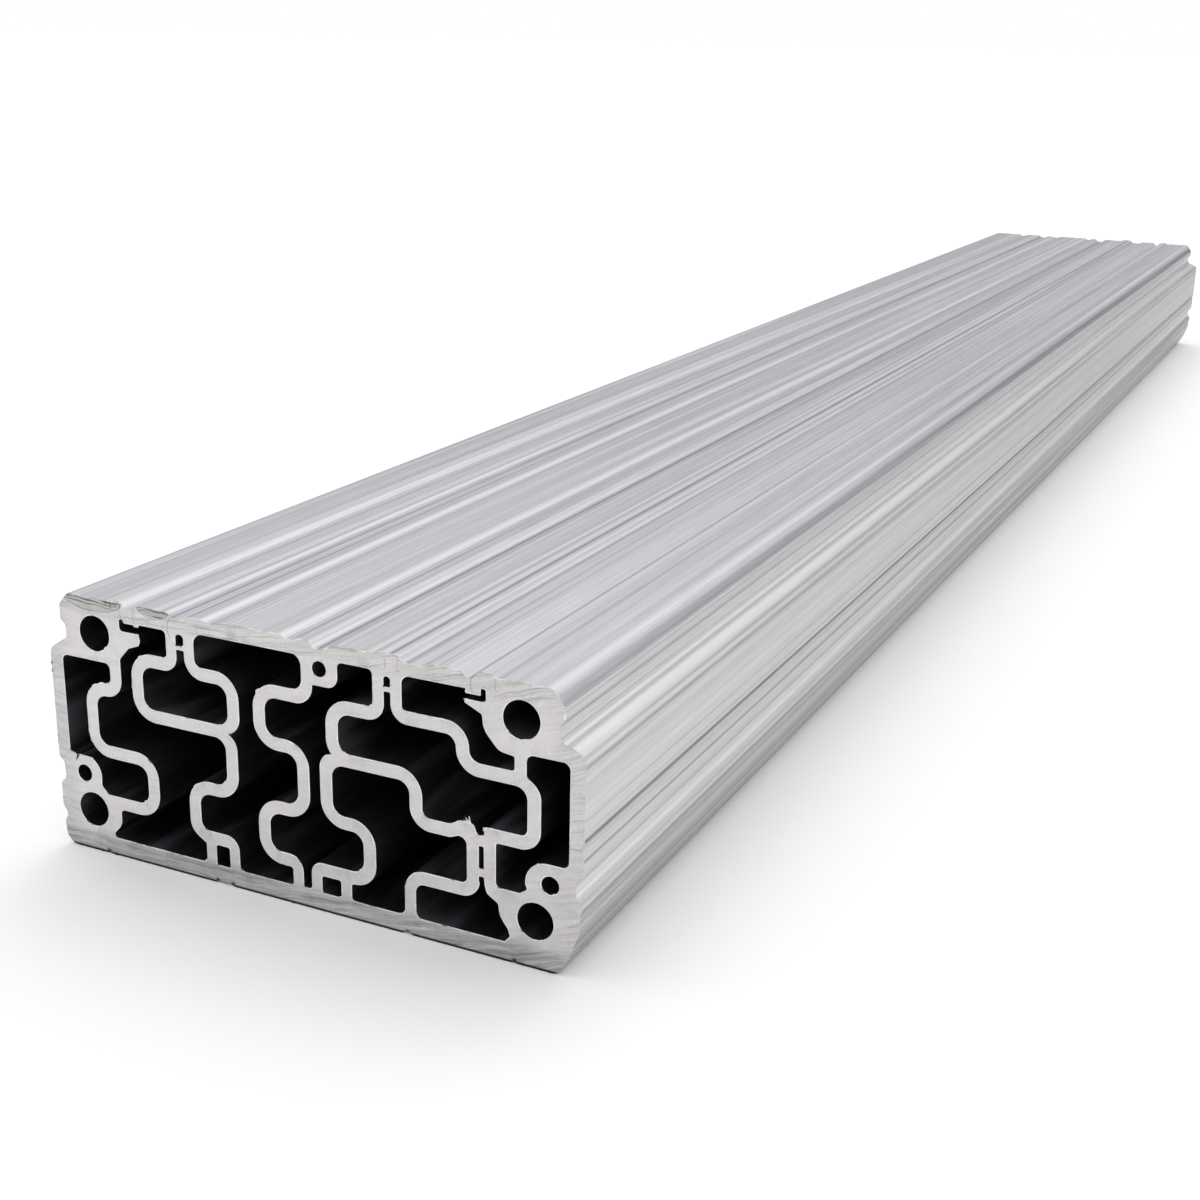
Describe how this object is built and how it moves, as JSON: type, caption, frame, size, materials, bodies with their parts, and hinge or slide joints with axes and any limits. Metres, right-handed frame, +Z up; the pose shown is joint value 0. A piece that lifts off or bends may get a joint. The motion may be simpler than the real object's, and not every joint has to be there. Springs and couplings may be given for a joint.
{
  "type": "aluminium extrusion profile",
  "caption": "Straight length of multi-chamber aluminium extrusion with meandering inner webs, screw ports in the corners and shallow grooves along the outside.",
  "frame": {"origin": "centre of the underside, on the floor, halfway along the bar", "axes": "+X across the section, to the right as seen from the front end; +Y along the bar, from the front end to the far end; +Z up from the flat underside"},
  "size_m": [0.11, 0.72, 0.0514],
  "materials": {
    "mill_aluminium": "satin"
  },
  "bodies": {
    "root": {"profile_bar": "mill_aluminium"}
  },
  "joints": []
}
